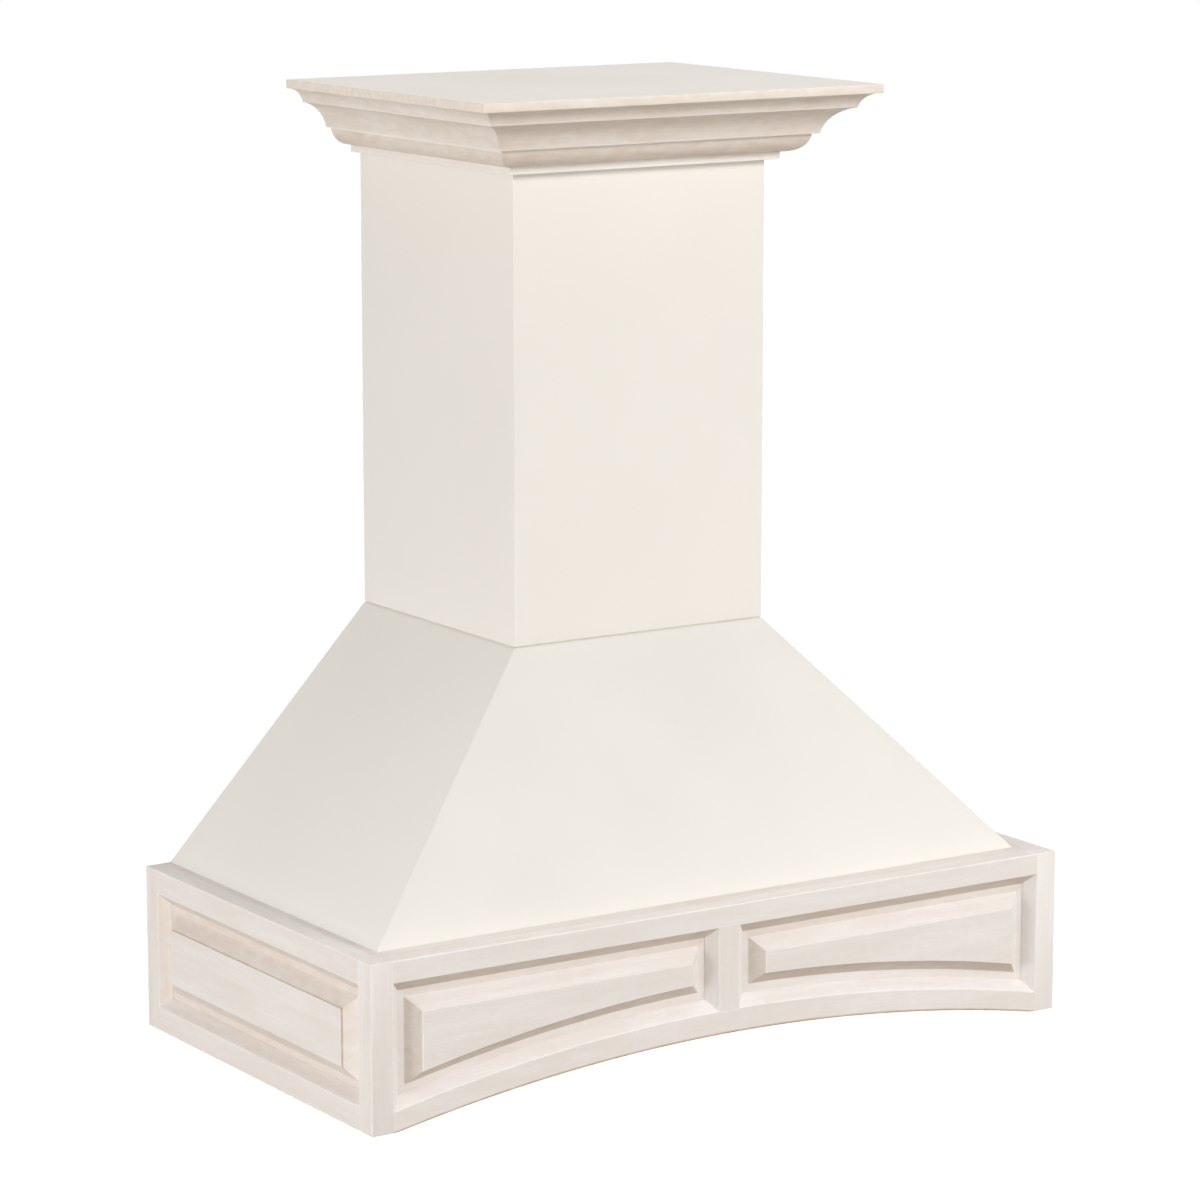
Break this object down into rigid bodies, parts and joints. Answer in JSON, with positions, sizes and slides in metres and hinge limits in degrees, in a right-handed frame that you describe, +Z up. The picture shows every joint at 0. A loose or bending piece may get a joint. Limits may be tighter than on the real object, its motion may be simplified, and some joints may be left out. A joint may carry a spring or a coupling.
{
  "type": "wooden range hood cover",
  "caption": "Wall-hung wooden range hood cover with a mitred crown, square chimney, sloping hipped canopy and an arched raised-panel apron, open below and behind.",
  "frame": {"origin": "on the wall plane, at the middle of the skirt's bottom edge, which is the lower edge of the skirt's wall rail", "axes": "+X to the right as seen from the room, +Y into the wall, +Z up"},
  "size_m": [0.9174, 0.5115, 1.0735],
  "materials": {
    "whitewashed_wood": "whitewash glaze on straight-grained hardwood, satin",
    "cream_paint": "smooth satin cream paint on board",
    "cap_paint": "smooth satin cream paint on board, a little darker",
    "raw_pine": "planed unfinished pine",
    "plated_screw": "zinc-plated steel"
  },
  "bodies": {
    "root": {"apron_bottom_rail": "whitewashed_wood", "apron_left_panel": "whitewashed_wood", "apron_left_stile": "whitewashed_wood", "apron_mullion": "whitewashed_wood", "apron_right_panel": "whitewashed_wood", "apron_right_stile": "whitewashed_wood", "apron_top_rail": "whitewashed_wood", "canopy_foot_cleat_front": "raw_pine", "canopy_foot_cleat_left": "raw_pine", "canopy_foot_cleat_right": "raw_pine", "canopy_front": "cream_paint", "canopy_head_cleat_front": "raw_pine", "canopy_head_cleat_left": "raw_pine", "canopy_head_cleat_right": "raw_pine", "canopy_left": "cream_paint", "canopy_right": "cream_paint", "cap_board": "cap_paint", "cap_cleats": "raw_pine", "chimney_corner_batten_left": "raw_pine", "chimney_corner_batten_right": "raw_pine", "chimney_foot_cleat_front": "raw_pine", "chimney_foot_cleat_left": "raw_pine", "chimney_foot_cleat_right": "raw_pine", "chimney_front": "cream_paint", "chimney_left": "cream_paint", "chimney_right": "cream_paint", "chimney_wall_rail": "raw_pine", "collar_screws": "plated_screw", "collar_wall_rail": "raw_pine", "corner_block_left": "raw_pine", "corner_block_right": "raw_pine", "crown_front": "whitewashed_wood", "crown_glue_blocks": "raw_pine", "crown_left": "whitewashed_wood", "crown_right": "whitewashed_wood", "frieze_front": "whitewashed_wood", "frieze_left": "whitewashed_wood", "frieze_right": "whitewashed_wood", "hip_batten_left": "raw_pine", "hip_batten_right": "raw_pine", "insert_ledger_front": "raw_pine", "insert_ledger_left": "raw_pine", "insert_ledger_rear": "raw_pine", "insert_ledger_right": "raw_pine", "ledge_front": "whitewashed_wood", "ledge_left": "whitewashed_wood", "ledge_right": "whitewashed_wood", "ledge_screws": "plated_screw", "left_side_bottom_rail": "whitewashed_wood", "left_side_front_stile": "whitewashed_wood", "left_side_panel": "whitewashed_wood", "left_side_rear_stile": "whitewashed_wood", "left_side_top_rail": "whitewashed_wood", "right_side_bottom_rail": "whitewashed_wood", "right_side_front_stile": "whitewashed_wood", "right_side_panel": "whitewashed_wood", "right_side_rear_stile": "whitewashed_wood", "right_side_top_rail": "whitewashed_wood", "skirt_wall_rail": "raw_pine"}
  },
  "joints": []
}
